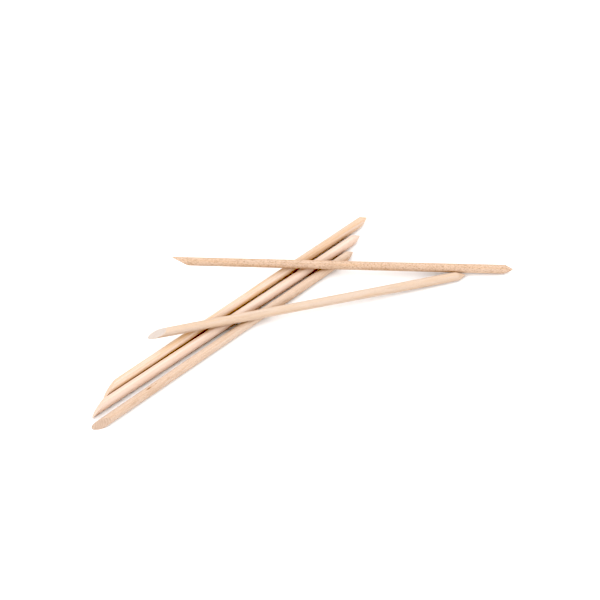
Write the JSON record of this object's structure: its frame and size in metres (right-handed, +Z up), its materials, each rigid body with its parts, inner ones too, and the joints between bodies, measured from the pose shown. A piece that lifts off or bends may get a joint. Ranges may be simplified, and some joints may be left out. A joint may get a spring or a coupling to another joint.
{
  "type": "cuticle pusher stick set",
  "caption": "Loose set of slim round wooden cuticle pushers, each with a slanted flat hoof at one end and a turned point at the other, lying side by side and crossed.",
  "frame": {"origin": "middle of the set's footprint, on the surface that the sticks lie on", "axes": "+X to the right along the upper crossing stick, from its hoof to its point; +Y away from the viewer; +Z up from the table"},
  "size_m": [0.2164, 0.1316, 0.014],
  "materials": {
    "front_stick_wood": "bare, sanded",
    "middle_stick_wood": "bare, sanded",
    "back_stick_wood": "bare, sanded",
    "lower_cross_stick_wood": "bare, sanded",
    "upper_cross_stick_wood": "bare, sanded"
  },
  "bodies": {
    "front_stick": {"front_stick": "front_stick_wood"},
    "middle_stick": {"middle_stick": "middle_stick_wood"},
    "back_stick": {"back_stick": "back_stick_wood"},
    "lower_cross_stick": {"lower_cross_stick": "lower_cross_stick_wood"},
    "upper_cross_stick": {"upper_cross_stick": "upper_cross_stick_wood"}
  },
  "joints": [
    {"name": "upper_cross_lift", "type": "slide", "parent": "front_stick", "child": "upper_cross_stick", "axis": [0, 0, 1], "range_m": [0, 0.06]},
    {"name": "lower_cross_lift", "type": "slide", "parent": "front_stick", "child": "lower_cross_stick", "axis": [0, 0, 1], "range_m": [0, 0.06]},
    {"name": "middle_draw", "type": "slide", "parent": "front_stick", "child": "middle_stick", "axis": [-0.7763, -0.6304, 0], "range_m": [0, 0.18]},
    {"name": "back_draw", "type": "slide", "parent": "front_stick", "child": "back_stick", "axis": [-0.7763, -0.6304, 0], "range_m": [0, 0.18]}
  ]
}
